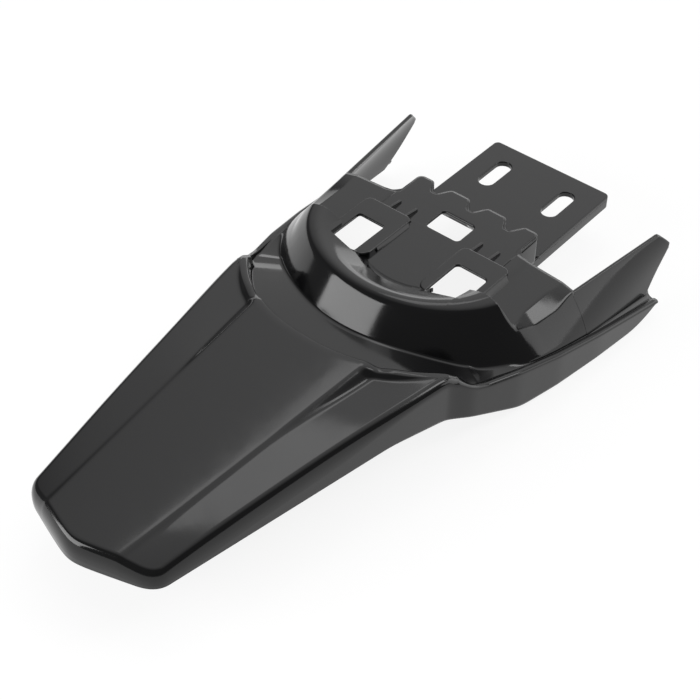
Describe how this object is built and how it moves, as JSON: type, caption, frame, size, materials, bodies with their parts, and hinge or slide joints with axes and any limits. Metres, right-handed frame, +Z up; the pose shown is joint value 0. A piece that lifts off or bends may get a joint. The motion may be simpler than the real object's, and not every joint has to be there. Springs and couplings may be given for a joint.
{
  "type": "motorcycle rear mudguard",
  "caption": "Rear mudguard of a light motorcycle: a long tail blade behind a raised collar and pan, with arms, side skirts and a slotted plate that bolts under the seat.",
  "frame": {"origin": "middle of the two bolt slots, on the plate's top face", "axes": "+X to the right, +Y forward towards the plate's front edge, +Z up out of the plate's top face"},
  "size_m": [0.248, 0.469, 0.075],
  "materials": {
    "shell_plastic": "glossy moulded black plastic"
  },
  "bodies": {
    "root": {"mudguard_shell": "shell_plastic"}
  },
  "joints": []
}
